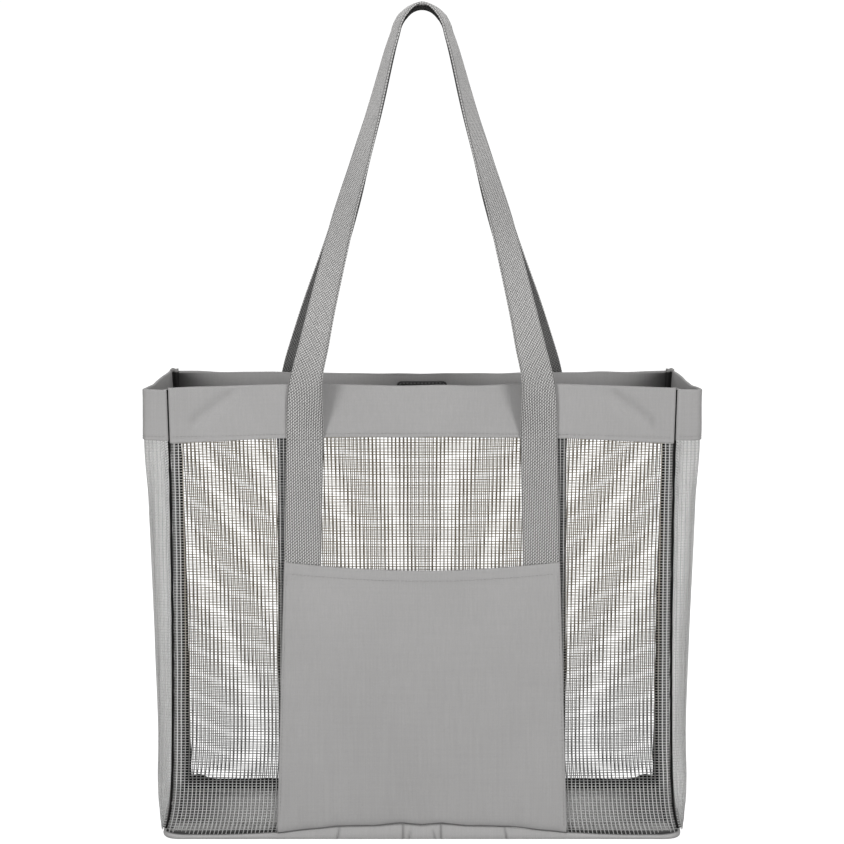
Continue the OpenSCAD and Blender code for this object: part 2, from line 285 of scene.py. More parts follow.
def base_seam_z(x):
    """Height of the front base seam: it rises where the pocket pulls it up."""
    spots = [0, 17, 40, 60, 74, 100, 124, 150, 175, 205, 225]
    heights = [13.8, 15.6, 13.4, 13.0, 12.6, 9.6, 6.9, 5.4, 4.6, 4.6, 6.5]
    return np.interp(np.abs(x), spots, heights)


# ---- mesh building
def add_object(name, data):
    obj = bpy.data.objects.new(name, data)
    bpy.context.scene.collection.objects.link(obj)
    return obj


def build(name, nodes, verts, faces, slot, uv=None, shade=None, warm=None, body="bag"):
    """A piece that stands for CAD nodes, from points in mm and lists of faces of one size each.

    shade is painted light and shade: 0 on plain cloth, up to 1 for painted shade, as in seams and inside
    the bag, and -1 for painted light. warm is 1 where a painted cream tint stands in for light that shines
    through the bag from behind.
    """
    verts = np.asarray(verts, float).reshape(-1, 3) * MM
    groups = [np.asarray(f, np.int32) for f in faces]
    mesh = bpy.data.meshes.new(name)
    mesh.vertices.add(len(verts))
    mesh.vertices.foreach_set("co", verts.astype(np.float32).ravel())
    loops = np.concatenate([g.ravel() for g in groups])
    sizes = np.concatenate([np.full(len(g), g.shape[1], np.int32) for g in groups])
    mesh.loops.add(len(loops))
    mesh.loops.foreach_set("vertex_index", loops)
    mesh.polygons.add(len(sizes))
    starts = np.concatenate([[0], np.cumsum(sizes)[:-1]])
    mesh.polygons.foreach_set("loop_start", starts.astype(np.int32))
    mesh.polygons.foreach_set("use_smooth", np.ones(len(sizes), bool))
    mesh.update(calc_edges=True)
    mesh.validate()
    if uv is not None:
        layer = mesh.uv_layers.new(name="weave")
        layer.data.foreach_set("uv", np.asarray(uv, np.float32).reshape(-1, 2)[loops].ravel())
    for key, values in (("shade", shade), ("warm", warm)):
        if values is not None:
            layer = mesh.attributes.new(key, "FLOAT", "POINT")
            layer.data.foreach_set("value", np.ascontiguousarray(values, np.float32).ravel())
    mesh.materials.append(MATERIALS[slot])
    obj = add_object(name, mesh)
    if body:
        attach(obj, body)
    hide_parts(*nodes)
    return obj


def grid_faces(rows, cols, wrap_rows=False, wrap_cols=False):
    r = np.arange(rows if wrap_rows else rows - 1)
    c = np.arange(cols if wrap_cols else cols - 1)
    r, c = np.meshgrid(r, c, indexing="ij")
    r1, c1 = (r + 1) % rows, (c + 1) % cols
    return np.stack([r * cols + c, r1 * cols + c, r1 * cols + c1, r * cols + c1], -1).reshape(-1, 4)


def sweep_faces(count, m):
    """Faces of count rings of m points, with both ends closed."""
    ends = np.array([np.arange(m), (count - 1) * m + np.arange(m)[::-1]])
    return [grid_faces(count, m, wrap_cols=True), ends]


def tubes(spines, across, out, half_w, half_t, sides, power=1.0):
    """Many closed tubes: spines, across and out are (tubes, points, 3). A power under 1 squares them."""
    k, m, _ = spines.shape
    angle = (np.arange(sides) + 0.5) * tau / sides
    c, s = np.cos(angle), np.sin(angle)
    c, s = np.sign(c) * np.abs(c) ** power, np.sign(s) * np.abs(s) ** power
    half_w = np.broadcast_to(half_w, (k, m))[..., None, None]
    half_t = np.broadcast_to(half_t, (k, m))[..., None, None]
    rings = spines[:, :, None] + across[:, :, None] * half_w * c[:, None]
    rings = rings + out[:, :, None] * half_t * s[:, None]
    shift = (np.arange(k) * m * sides)[:, None, None]
    return rings, [(group + shift).reshape(-1, group.shape[1]) for group in sweep_faces(m, sides)]


def join_parts(parts):
    """Several (points, faces) lists as one."""
    verts, by_size, offset = [], {}, 0
    for points, faces in parts:
        points = np.asarray(points, float).reshape(-1, 3)
        for group in faces:
            by_size.setdefault(group.shape[1], []).append(group + offset)
        verts.append(points)
        offset += len(points)
    return np.concatenate(verts), [np.concatenate(g) for g in by_size.values()]


def distance_along(points):
    steps = np.linalg.norm(np.diff(points, axis=0), axis=1)
    return np.concatenate([[0], np.cumsum(steps)])


# ---- materials
class Nodes:
    """Short calls for building a node tree."""

    def __init__(self, name):
        self.mat = bpy.data.materials.new(name)
        self.mat.use_nodes = True
        self.tree = self.mat.node_tree
        self.shader = self.tree.nodes["Principled BSDF"]

    def add(self, kind, **inputs):
        """A node with its inputs set by name, or by number as in i0."""
        node = self.tree.nodes.new(kind)
        for key, value in inputs.items():
            socket = int(key[1:]) if key[1:].isdigit() else key
            self.put(node.inputs[socket], value)
        return node

    def put(self, socket, value):
        if isinstance(value, bpy.types.NodeSocket):
            self.tree.links.new(value, socket)
        else:
            socket.default_value = value

    def math(self, op, a, b=0.0, c=0.0):
        node = self.add("ShaderNodeMath", i0=a, i1=b, i2=c)
        node.operation = op
        return node.outputs[0]

    def place(self):
        return self.add("ShaderNodeTexCoord").outputs["Object"]

    def axes(self, vector):
        return self.add("ShaderNodeSeparateXYZ", i0=vector).outputs[0:3]

    def noise(self, scale, detail=2, stretch=(1, 1, 1)):
        mapping = self.add("ShaderNodeMapping", Vector=self.place(), Scale=stretch)
        node = self.add("ShaderNodeTexNoise", Vector=mapping.outputs[0], Scale=scale, Detail=detail)
        return node.outputs["Fac"]

    def ramp(self, value, low, high, dark, light):
        node = self.add("ShaderNodeMapRange", Value=value)
        for key, number in (("From Min", low), ("From Max", high), ("To Min", dark), ("To Max", light)):
            node.inputs[key].default_value = number
        return node.outputs[0]

    def vary(self, noise, amount):
        """A factor that strays from 1 by up to about the amount."""
        return self.ramp(noise, 0.3, 0.7, 1 - amount, 1 + amount)

    def layer(self, name):
        node = self.tree.nodes.new("ShaderNodeAttribute")
        node.attribute_name = name
        return node.outputs["Fac"]

    def shade(self, dark, pale=1.0):
        """The factor for the shade layer of painted light and shade: painted shade at 1, plain at 0 and
        painted light at -1.
        """
        layer = self.layer("shade")
        lighter = self.ramp(layer, -1.0, 0.0, pale, 1.0)
        return self.math("MULTIPLY", lighter, self.ramp(layer, 0.0, 1.0, 1.0, dark))

    def warmed(self, colour, warm_colour):
        """The colour, turned into the warm one where the warm layer is 1: a painted cream tint for light
        that shines through the bag.
        """
        node = self.add("ShaderNodeMix")
        node.data_type = "RGBA"
        node.inputs[6].default_value = (*colour, 1)
        node.inputs[7].default_value = (*warm_colour, 1)
        self.put(node.inputs[0], self.layer("warm"))
        return node.outputs[2]

    def tint(self, colour, *factors):
        """The colour times each factor, into Base Color."""
        value = factors[0]
        for factor in factors[1:]:
            value = self.math("MULTIPLY", value, factor)
        node = self.add("ShaderNodeVectorMath", i0=colour)
        node.operation = "SCALE"
        self.put(node.inputs["Scale"], value)
        self.put(self.shader.inputs["Base Color"], node.outputs[0])

    def relief(self, height, strength, distance):
        node = self.add("ShaderNodeBump", Height=height, Strength=strength, Distance=distance)
        self.put(self.shader.inputs["Normal"], node.outputs[0])

    def finish(self, roughness, sheen, specular):
        self.put(self.shader.inputs["Roughness"], roughness)
        self.put(self.shader.inputs["Sheen Weight"], sheen)
        self.put(self.shader.inputs["Specular IOR Level"], specular)
        return self.mat


def plain_weave(nodes, pitch):
    """Height of a plain weave over the object's x+y and z, for upright cloth, with pitch in metres."""
    x, y, z = nodes.axes(nodes.place())
    wave = tau / pitch
    a = nodes.math("SINE", nodes.math("MULTIPLY", nodes.math("ADD", x, y), wave))
    b = nodes.math("SINE", nodes.math("MULTIPLY", z, wave))
    return nodes.math("MULTIPLY", a, b)


def cloth_material(name, colour):
    """Plain woven cloth, with painted shade that makes it a little darker toward the floor, and the painted
    light and shade of the shade layer.
    """
    nodes = Nodes(name)
    upright = nodes.noise(900, stretch=(1, 1, 0.02))
    level = nodes.noise(900, stretch=(0.02, 0.02, 1))
    painted_low_shade = nodes.ramp(nodes.axes(nodes.place())[2], 0.02, 0.22, 0.94, 1.0)
    nodes.tint(
        colour,
        nodes.vary(upright, 0.03),
        nodes.vary(level, 0.015),
        nodes.vary(nodes.noise(9, 3), 0.03),
        nodes.vary(nodes.noise(1600), 0.05),
        painted_low_shade,
        nodes.shade(0.06, 1.8),
    )
    threads = nodes.math("ADD", upright, level)
    height = nodes.math("MULTIPLY_ADD", plain_weave(nodes, 0.0011), 0.5, threads)
    nodes.relief(height, 0.35, 0.00012)
    return nodes.finish(0.85, 0.15, 0.25)


# Width of a column of floats in the webbing, and the length of a float, in metres
WEAVE_COLUMN = 0.0015
WEAVE_FLOAT = 0.0026


def webbing_material(name, colour):
    """Flat webbing: short slanted floats in staggered columns, laid out along the strap."""
    nodes = Nodes(name)
    uv = nodes.add("ShaderNodeUVMap")
    uv.uv_map = "weave"
    across, along, _ = nodes.axes(uv.outputs[0])
    column = nodes.math("ADD", nodes.math("DIVIDE", across, WEAVE_COLUMN), 100)
    odd = nodes.math("MODULO", nodes.math("FLOOR", column), 2)
    row = nodes.math("MULTIPLY_ADD", odd, 0.5, nodes.math("DIVIDE", along, WEAVE_FLOAT))
    u = nodes.math("SUBTRACT", nodes.math("FRACT", column), 0.5)
    v = nodes.math("SUBTRACT", nodes.math("FRACT", nodes.math("ADD", row, 100)), 0.5)
    slant = nodes.math("MULTIPLY_ADD", v, -0.1, u)
    far = nodes.math(
        "ADD",
        nodes.math("POWER", nodes.math("ABSOLUTE", nodes.math("MULTIPLY", slant, 2.1)), 2.0),
        nodes.math("POWER", nodes.math("ABSOLUTE", nodes.math("MULTIPLY", v, 1.9)), 2.5),
    )
    height = nodes.ramp(far, 0.0, 1.1, 1.0, 0.0)
    nodes.tint(
        colour,
        nodes.ramp(height, 0.04, 0.78, 0.03, 1.6),
        nodes.vary(nodes.noise(1500), 0.08),
        nodes.vary(nodes.noise(12, 3), 0.04),
        # Painted light and shade from the shade layer
        nodes.shade(0.05, 1.62),
    )
    nodes.relief(height, 0.8, 0.0005)
    return nodes.finish(0.7, 0.2, 0.35)


def yarn_material(name, colour, roughness, grain, contrast, inside=1.0, pale=1.0, warm=None):
    """Thread, coated yarn or pile. inside is the factor for painted shade and pale the one for painted
    light, and warm is the painted cream tint where the warm layer is 1.
    """
    nodes = Nodes(name)
    rough = nodes.noise(grain)
    nodes.tint(
        nodes.warmed(colour, warm) if warm else colour,
        nodes.vary(rough, contrast),
        nodes.vary(nodes.noise(14), 0.05),
        nodes.shade(inside, pale),
    )
    nodes.relief(rough, 0.3, 0.0001)
    return nodes.finish(roughness, 0.05, 0.4)


def tape_material(name, colour):
    """Binding tape: fine ribs across its length."""
    nodes = Nodes(name)
    x, y, z = nodes.axes(nodes.place())
    along = nodes.math("ADD", z, nodes.math("ADD", x, y))
    ribs = nodes.math("SINE", nodes.math("MULTIPLY", along, tau / 0.0016))
    nodes.tint(
        colour,
        nodes.ramp(ribs, -1, 1, 0.85, 1.08),
        nodes.vary(nodes.noise(1500), 0.07),
        # Painted shade from the shade layer
        nodes.shade(0.03),
    )
    nodes.relief(ribs, 0.5, 0.0002)
    return nodes.finish(0.85, 0.0, 0.1)


GREY_COAT = (0.45, 0.45, 0.445)
# Painted cream tint that the mesh yarns take where light shines through the bag
BACKLIT_CREAM_TINT = (0.53, 0.42, 0.25)

# The material for each slot
MATERIALS = {
    "woven_cloth": cloth_material("woven cloth", (0.390, 0.384, 0.382)),
    "webbing": webbing_material("webbing", (0.40, 0.395, 0.39)),
    "coated_mesh": yarn_material("coated mesh yarn", GREY_COAT, 0.5, 1200, 0.1, 0.05, 1.9, BACKLIT_CREAM_TINT),
    "binding_tape": tape_material("binding tape", (0.36, 0.355, 0.35)),
    "thread": yarn_material("sewing thread", (0.33, 0.325, 0.32), 0.6, 3000, 0.15),
    "hook_tape": yarn_material("hook tape", (0.07, 0.07, 0.07), 0.5, 2500, 0.3),
    "loop_tape": yarn_material("loop tape", (0.10, 0.10, 0.10), 0.9, 2500, 0.3),
}


# ---- mesh panels
YARN_X = 3.38
YARN_Z = 2.39
# Half width and half thickness of the upright and of the level yarns
WARP = (0.46, 0.25)
WEFT = (0.31, 0.18)


def upright_yarns(lo, hi, count, bottom, fan):
    """s and z along every upright yarn. fan draws the yarns together toward the foot."""
    s = np.linspace(lo, hi, count)[:, None]
    rise = np.linspace(0, 1, 44)[None]
    z = bottom(s) + (MESH_Z1 - bottom(s)) * rise
    return s * (1 - fan * (1 - rise) * (1 - s**2)), z


def level_yarns(lo, hi, bottom, pitch, sag, seed):
    """s and z along every level yarn. sag lowers the middle of the yarns."""
    rows = int(round((MESH_Z1 - 8) / pitch))
    height = MESH_Z1 - 0.6 - np.arange(rows)[:, None] * pitch
    s = np.broadcast_to(mix(lo, hi, np.linspace(0, 1, 97)[None]), (rows, 97))
    z = np.maximum(height - sag * (1 - s**2), bottom(s) - 1)
    return s, z + ripple(s * 400, z, 80, seed) * 0.15


def lattice(name, at, ends, count, bottom, seed, tones, warm_inside=False, pitch=YARN_Z, fan=0.0, sag=0.0):
    """Real mesh cloth: upright yarns over level ones. at(s, n, z) places it, with s between the ends.

    tones(s, z, upright) gives the painted light and shade of the yarns outside and inside the bag, and
    their painted cream tint.
    """
    lo, hi = ends
    s, z = upright_yarns(lo, hi, count, bottom, fan)
    wobble = ripple(s * 500, z, 60, seed) * 0.12
    wobble = wobble + ripple(np.arange(count)[:, None] * 40.0, z, 90, seed + 1) * 0.16
    level = level_yarns(lo, hi, bottom, pitch, sag, seed + 2)
    parts, shades, warmth = [], [], []
    eps = (hi - lo) * 1e-3
    for s, z, upright in ((s, z, True), (*level, False)):
        p = at(s, 0.0, z)
        out = unit(at(s, 0.5, z) - at(s, -0.5, z))
        side = unit(at(s + eps, 0.0, z) - at(s - eps, 0.0, z))
        if upright:
            yarns = tubes(p + side * wobble[..., None], side, out, *WARP, 6, 0.8)
        else:
            up = np.cross(side, out)
            up = up * np.sign(up[..., 2:3])
            yarns = tubes(p - out * 0.12, up, out, *WEFT, 4)
        parts.append(yarns)
        sides = yarns[0].shape[2]
        facing_in = np.sin((np.arange(sides) + 0.5) * tau / sides) < 0
        outside, inside, warm = (np.broadcast_to(tone, s.shape)[..., None] for tone in tones(s, z, upright))
        shades.append(np.where(facing_in, inside, outside).ravel())
        warmth.append(np.where(facing_in == warm_inside, warm, 0.0).ravel())
    verts, faces = join_parts(parts)
    shade, warm = np.concatenate(shades), np.concatenate(warmth)
    build(name + "_cloth", [name], verts, faces, "coated_mesh", shade=shade, warm=warm)


def clear_part(x, z, strap_x, strap_half):
    """1 where light falls through the bag from behind it, 0 at its seams, straps and foot.

    x is measured across the panel, and strap_x is where a strap is seen on it or through it.
    """
    sides = smooth_step((207 - np.abs(x)) / 6)
    foot = smooth_step((z - 48) / 5)
    strap = smooth_step((np.abs(np.abs(x) - strap_x) - strap_half) / 1.5)
    return sides * foot * strap


# Painted light and shade of the front yarns: darker outside where light shines through the bag behind them,
# painted light at the foot and by the seams, painted shade on their inner side, and the painted cream tint
# where light shines through.
def front_tones(s, z, upright):
    x = s * 214
    lit = clear_part(x, z, 112, 12)
    warm = 0.6 * lit * smooth_step((z - 40) / 200)
    above_foot = smooth_step((z - 48) / 5)
    seam = smooth_step((np.abs(x) - 203) / 2)
    pale = mix(0.15, 0.5 * seam, above_foot)
    return (0.68 * lit - pale, 1.0, warm) if upright else (0.42 * lit - pale, 0.6, warm)


# Painted light and shade of the rear yarns: plain outside, painted shade on their inner side, less of it on
# the level yarns where light shines through, and the painted cream tint there.
def rear_tones(s, z, upright):
    lit = clear_part(s * 216, z + 40, 113.5, 15.5)
    warm = lit * smooth_step((z - 20) / 200)
    return (0.0, 1.0, warm) if upright else (0.0, mix(0.6, 0.4, lit), warm)


# Painted light on the gusset yarns outside; inside, painted light near the front and painted shade toward
# the rear seam.
def gusset_tones(s, z, upright):
    return -0.05 if upright else -0.3, mix(-1.0, 1.0, smooth_step((s - 0.55) / 0.2)), 0.0


def front_foot(s):
    return base_seam_z(s * 221)


def other_foot(s):
    return SEAM_Z + 0 * s


def make_mesh_panels():
    count = int(round(PANEL_W / YARN_X))
    lattice("front_mesh_panel", front_share, (-1, 1), count, front_foot, 11, front_tones)
    lattice("rear_mesh_panel", rear_share(0.5), (-1, 1), count + 5, other_foot, 12, rear_tones,
            warm_inside=True, pitch=0.96 * YARN_Z, fan=0.045, sag=3.0)
    for word, side in SIDES:
        ends = (SEAM_GAP / GUSSET_W, 0.99)
        lattice(f"{word}_gusset_mesh", gusset_share(side), ends, 47, other_foot, 13 + side, gusset_tones)


# ---- rim bands
CREASES = [
    # x and z of both ends, depth and width of each soft fold in the front band
    (-201, 362, -169, 381, 3.2, 4.0), (201, 362, 169, 381, 3.2, 4.0),
    (-190, 374, -160, 386, 0.6, 3.0), (190, 374, 160, 386, 0.6, 3.0),
    (-60, 354, -35, 372, 0.35, 6.0), (48, 356, 78, 374, 0.35, 6.0),
]


def crease_depth(x, z):
    depth = 0.0
    for x0, z0, x1, z1, most, width in CREASES:
        dx, dz = x1 - x0, z1 - z0
        along = np.clip(((x - x0) * dx + (z - z0) * dz) / (dx * dx + dz * dz), 0, 1)
        gap = np.hypot(x - x0 - along * dx, z - z0 - along * dz)
        depth = depth + most * bump(gap, width)
    return depth


def band_profile():
    """Section of the band: outer wall up, round over the rim, inner wall down, closed below."""
    r = BAND_T / 2
    low = np.linspace(BAND_Z0 + 0.5, BAND_Z0 + 8, 10)
    wall = np.concatenate([low, np.linspace(BAND_Z0 + 11, BODY_H - r - 1, 9)])
    turn = np.linspace(0, pi, 9)
    outer = [(r, z) for z in wall]
    rim = [(r * cos(t), BODY_H - r + r * sin(t)) for t in turn]
    inner = [(-r, z) for z in wall[::-1]]
    foot = [(-0.7, BAND_Z0), (0.7, BAND_Z0)]
    return np.array(outer + rim + inner + foot)


def band(name, at, ends, rings, length, drop, hem_drop, inside, seed, creased=False):
    """One piece of the rim band. length turns s into mm along it, drop(s) lowers the rim and hem_drop(s)
    the lower edge, and inside(s) is the painted light and shade of the inner wall.
    """
    section = band_profile()
    s = np.linspace(*ends, rings)[:, None]
    n, z = section[:, 0][None], section[:, 1][None]
    x = s * length
    dent = 0.5 * bump(z - STITCH_Z, 0.9) * (0.75 + 0.25 * np.cos(x * tau / STITCH_PITCH))
    pucker = 0.12 * np.sin(x * tau / 6.4 + ripple(x, 0 * x, 60, seed) * 3) * bump(z - BAND_Z0, 5)
    soft = 0.25 * ripple(x, z, 45, seed + 7)
    move = np.where(n > 0, -dent, dent) + pucker + soft
    if creased:
        move = move - crease_depth(x, z)
    low = np.exp(-(z - BAND_Z0) / 3)
    lift = 0.35 * ripple(x, 0 * x, 50, seed + 3) * (low + np.exp((z - BODY_H) / 5))
    high = smooth_step((z - BAND_Z0) / (BODY_H - BAND_Z0))
    lift = lift - drop(s) * high - hem_drop(s) * (1 - high)
    p = at(s, n + move, z + lift)
    facing_in = (section[:, 0] < 0) & (section[:, 1] < BODY_H - 1.5)
    shade = facing_in[None] * inside(s)
    build(name + "_cloth", [name], p, sweep_faces(rings, len(section)), "woven_cloth", shade=shade)


def corners(s):
    """1 at the ends of the rear band, 0 away from them."""
    return bump((1 - np.abs(s)) * BASE_HALF_W, 28)


def front_rim_drop(s):
    x = np.abs(s) * BASE_HALF_W
    return 0.2 - 1.2 * smooth_step((x - 35) / 60) - 0.9 * bump(x - 112, 42)


def front_hem_drop(s):
    return 2.2 * smooth_step((np.abs(s) - 0.5) / 0.45)


def rear_rim_drop(s):
    return 1.2 * corners(s * 0.97) + 1.0 * bump(np.abs(s) * BASE_HALF_W - 180, 30)


def gusset_rim_drop(s):
    front_part = smooth_step((s * GUSSET_W - 1.5) / 3) * (1 - smooth_step((s - 0.15) / 0.3))
    return 0.6 * front_part + 2.9 * bump(s - 0.52, 0.25) + 0.8 * smooth_step((s - 0.7) / 0.3)


def same(value):
    """A function of s with one value all along."""
    return lambda s: value + 0 * s


def make_bands():
    # Painted shade on the front band's inner wall; on the rear one painted light in the middle and painted
    # shade toward its ends; painted light on the gussets' inner walls.
    band("front_top_band", front_share, (-1, 1), 260, BASE_HALF_W, front_rim_drop, front_hem_drop,
         same(0.68), 21, creased=True)
    band("rear_top_band", rear_share(1.2), (-1, 1), 260, BASE_HALF_W, rear_rim_drop, same(0),
         lambda s: mix(-0.2, 0.95, corners(s)), 22)
    for word, side in SIDES:
        band(f"{word}_top_band", gusset_share(side), (SEAM_GAP / GUSSET_W, 0.985), 130, GUSSET_W,
             gusset_rim_drop, same(0), same(-0.1), 23 + side)


# ---- base
# Signs of a rectangle's corners, anticlockwise from the lower right one
CORNERS = np.array([[1, -1], [1, 1], [-1, 1], [-1, -1]])


def outline(inset, count):
    """The base's plan, a rectangle with round corners, drawn in by inset; anticlockwise from the front."""
    w, d, r = BASE_HALF_W - inset, BASE_D / 2 - inset, max(BASE_CORNER_R - inset, 1.0)
    lengths = np.array([2 * (w - r), pi * r / 2, 2 * (d - r), pi * r / 2] * 2)
    ends = np.concatenate([[0], np.cumsum(lengths)])
    t = (np.arange(count) + 0.5) / count * ends[-1]
    k = np.searchsorted(ends, t, "right") - 1
    side, round_part = k // 2, (k % 2)[:, None]
    u = ((t - ends[k]) / lengths[k])[:, None]
    centres = CORNERS * (w - r, d - r)
    centre = mix(centres[side - 1], centres[side], np.where(round_part, 1, u))
    turn = (side - 1 + (round_part * u)[:, 0]) * pi / 2
    return centre + r * np.stack([np.cos(turn), np.sin(turn)], -1)


def base_top(x, y):
    """Height of the base seam round the plan."""
    front_side = np.clip((-y - BASE_D / 2 + 20) / 18, 0, 1)
    return mix(SEAM_Z, base_seam_z(x), front_side)


BASE_PLAN = outline(0, 960)
BASE_FOLDS = [
    # distance from the middle, lean toward it at the seam, depth, and how far it shows at the seam
    (73, 2.0, 1.0, 0.6), (16.3, 0.0, 1.2, 0.8), (11.5, 3.0, 0.8, 0.0),
]
BASE_FOLDS += [(-at, -lean, -push, shown) for at, lean, push, shown in BASE_FOLDS]


def base_creases(x):
    """How far the base's wall goes in on one side of each fold and out on the other."""
    return sum(-push * 2.3 * (x - at) / 1.8 * bump(x - at, 1.8) for at, lean, push, shown in BASE_FOLDS)


def base_fold_lines(x, level):
    """Painted shade along the same folds, from level 1 at the seam to 0 at the floor."""
    lines = 0.0
    for at, lean, push, shown in BASE_FOLDS:
        lines = lines + 0.7 * bump(x - at + lean * level, 1.1) * mix(1 - level, 1.0, shown)
    return lines


def base_ring(inset, height):
    """The plan drawn in by inset, at one height or with a height for each point."""
    x, y = BASE_PLAN.T
    past_x = np.maximum(np.abs(x) - (BASE_HALF_W - BASE_CORNER_R), 0)
    past_y = np.maximum(np.abs(y) - (BASE_D / 2 - BASE_CORNER_R), 0)
    out = unit(np.stack([np.sign(x) * past_x, np.sign(y) * past_y], -1))
    p = BASE_PLAN - out * np.reshape(inset, (-1, 1))
    return np.stack([p[:, 0], CENTRE_Y + p[:, 1], np.broadcast_to(height, len(p))], -1)


def base_disc(share, height, wrinkle):
    """The plan drawn in by 6 mm and shrunk to a share of that, with wrinkles that die out at its edge."""
    p = outline(6, len(BASE_PLAN)) * share
    z = height + wrinkle * ripple(p[:, 0], p[:, 1], 70, 33) * min(1, (1 - share) * 4)
    return np.stack([p[:, 0], CENTRE_Y + p[:, 1], z], -1)


def make_base():
    """One closed sheet: floor from the middle out, inner wall, seam, outer wall and underside."""
    x, y = BASE_PLAN.T
    top = base_top(x, y)
    on_front = np.clip(-y - BASE_D / 2 + 1.5, 0, 1.5) / 1.5
    ends = smooth_step((np.abs(x) - 140) / 60)
    soft = 0.5 * ripple(x, y, 34, 31) + base_creases(x) * on_front
    cloth, round_r, plain = 1.2, 2.6, -0.2
    # Each ring carries its tone in the shade layer: painted light on the floor's middle and painted shade
    # toward its ends, painted shade on the inner wall at the front and front ends, along the seam and along
    # the folds, and a little painted light elsewhere.
    rings = []
    for share in (0.02, 0.15, 0.3, 0.45, 0.6, 0.75, 0.88, 0.96, 1.0):
        tone = -1 + 1.6 * smooth_step((np.abs(x) * share - 140) / 60)
        rings.append((base_disc(share, cloth + 0.5, 0.5), tone))
    rings.append((base_ring(cloth + 2.2, cloth + 0.7), -1 + 1.6 * ends))
    inner_tone = 0.6 * on_front + 0.4 * ends * (y < 0)
    rings.append((base_ring(cloth + 0.8, cloth + 2.2), inner_tone))
    for u in (0.35, 0.65, 0.9):
        rings.append((base_ring(cloth + 0.2 - soft * 0.3, mix(cloth + 2, top, u)), inner_tone))
    lip = 2.0 * on_front
    rings.append((base_ring(2.2, top + 0.8 + lip), 0.8))
    rings.append((base_ring(1.6, top + 0.7 + lip), 0.8))
    rings.append((base_ring(1.2, top + 0.4), 1.0))
    for inset, u, level in ((0.5, 0.93, None), (0.1, 0.8, 1.0), (-0.35, 0.6, 0.8), (-0.4, 0.42, 0.5)):
        tone = 0.6 if level is None else base_fold_lines(x, level) * on_front + plain
        rings.append((base_ring(inset + soft * (1.1 - u), mix(0, top, u)), tone))
    for t, level in ((0.35, 0.2), (0.7, 0.0), (1.0, None)):
        a = t * pi / 2
        inset = -0.3 + round_r * (1 - cos(a)) + soft * (1 - t) * 0.6
        tone = plain if level is None else base_fold_lines(x, level) * on_front + plain
        rings.append((base_ring(inset, round_r * (1 - sin(a))), tone))
    for share in (1.0, 0.9, 0.7, 0.4, 0.1, 0.02):
        rings.append((base_disc(share, 0.0, 0.0), plain))
    points = np.array([ring for ring, tone in rings])
    shade = np.array([np.broadcast_to(tone, len(x)) for ring, tone in rings])
    faces = sweep_faces(len(rings), len(x))
    build("base_panel_cloth", ["base_panel"], points, faces, "woven_cloth", shade=shade)


def make_base_binding():
    """Tape over the base seam inside, higher where it passes the rear seams."""
    x, y = BASE_PLAN.T
    hump = 4.5 * bump(np.abs(x) - 203, 8) * (y > 0)
    wave = 0.2 * ripple(x, y, 20, 35)
    section = ((2.6, 4.2), (4.2, 4.6), (4.4, 8.0), (4.0, 13.9), (2.9, 14.4), (2.5, 8.0))
    tape = np.array([base_ring(inset + wave, z + hump * (z > 12)) for inset, z in section])
    # Painted shade on the tape all round but along the front
    shade = np.tile(smooth_step((y + 66) / 8), len(tape))
    faces = [grid_faces(len(tape), len(x), True, True)]
    build("base_binding_tape", ["base_binding"], tape, faces, "binding_tape", shade=shade)


# ---- pocket
def pocket_half(z):
    over_strap = FRONT_STRAP_X + WEBBING_W / 2 + 0.5 + (FRONT_STRAP_SPREAD - 2) * (1 - z / HINGE_Z)
    return over_strap + 3.6 * (1 - np.clip(z / POCKET_Z1, 0, 1))


def stitch_dent(gap, along):
    """Depth of the groove that a row of stitches pulls into the pocket, at the distance gap from it."""
    return 0.28 * bump(gap, 0.6) * (0.7 + 0.3 * np.cos(along * tau / STITCH_PITCH))


def pocket(u, n, z):
    """Point of the pocket, u from -1 to 1 across it and n outside the front panel's middle."""
    u, n, z = same_shape(u, n, z)
    x = u * pocket_half(z)
    across = 1 - u**2
    rise = np.clip((z - POCKET_Z0) / POCKET_H, 0, 1)
    strap_edge = FRONT_STRAP_X - WEBBING_W / 2
    held = np.maximum(np.abs(x), strap_edge) + 3 * np.exp(-np.abs(np.abs(x) - strap_edge) / 8)
    y = front(held, n, z)[..., 1] - POCKET_BULGE * across * np.sqrt(rise)
    y = y - 0.8 * ripple(x, z, 90, 41) * across
    return np.stack([x, y, z - POCKET_SAG * across * rise**3], -1)


def make_pocket():
    cols, rows = 181, 120
    u = np.linspace(-1, 1, cols)[:, None]
    low = base_seam_z(u * 124) - 0.6
    v = np.linspace(0, 1, rows)[None]
    z = mix(low, POCKET_Z1, v)
    half = pocket_half(z)
    edge = (1 - np.abs(u)) * half
    hem_step = 0.45 / (1 + np.exp((edge - 6) / 0.35)) + 0.4 / (1 + np.exp((POCKET_Z1 - 10.5 - z) / 0.35))
    stitch = stitch_dent(edge - POCKET_STITCH_IN, z) + stitch_dent(z - POCKET_STITCH_Z, u * half)
    pinch = 3.0 * np.exp(-(z - low) / 2.5) + 0.5 * np.exp(-edge / 0.5)
    gathers = 0.7 * ripple(u * 120, z * 0.3, 24, 43) * np.exp(-(z - low) / 26)
    outer = POCKET_N + POCKET_T + hem_step - stitch - pinch + gathers
    inner = POCKET_N - pinch + gathers * 0.7
    section = np.concatenate([z, z[:, ::-1]], 1)
    n = np.concatenate([outer, inner[:, ::-1]], 1)
    p = pocket(u, n, section)
    # Painted shade along the pocket's lowest edge, where it meets the base seam
    shade = 1 - smooth_step((section - low - 0.6) / 1.4)
    faces = sweep_faces(cols, 2 * rows)
    build("front_pocket_cloth", ["front_pocket", "pocket_hem"], p, faces, "woven_cloth", shade=shade)


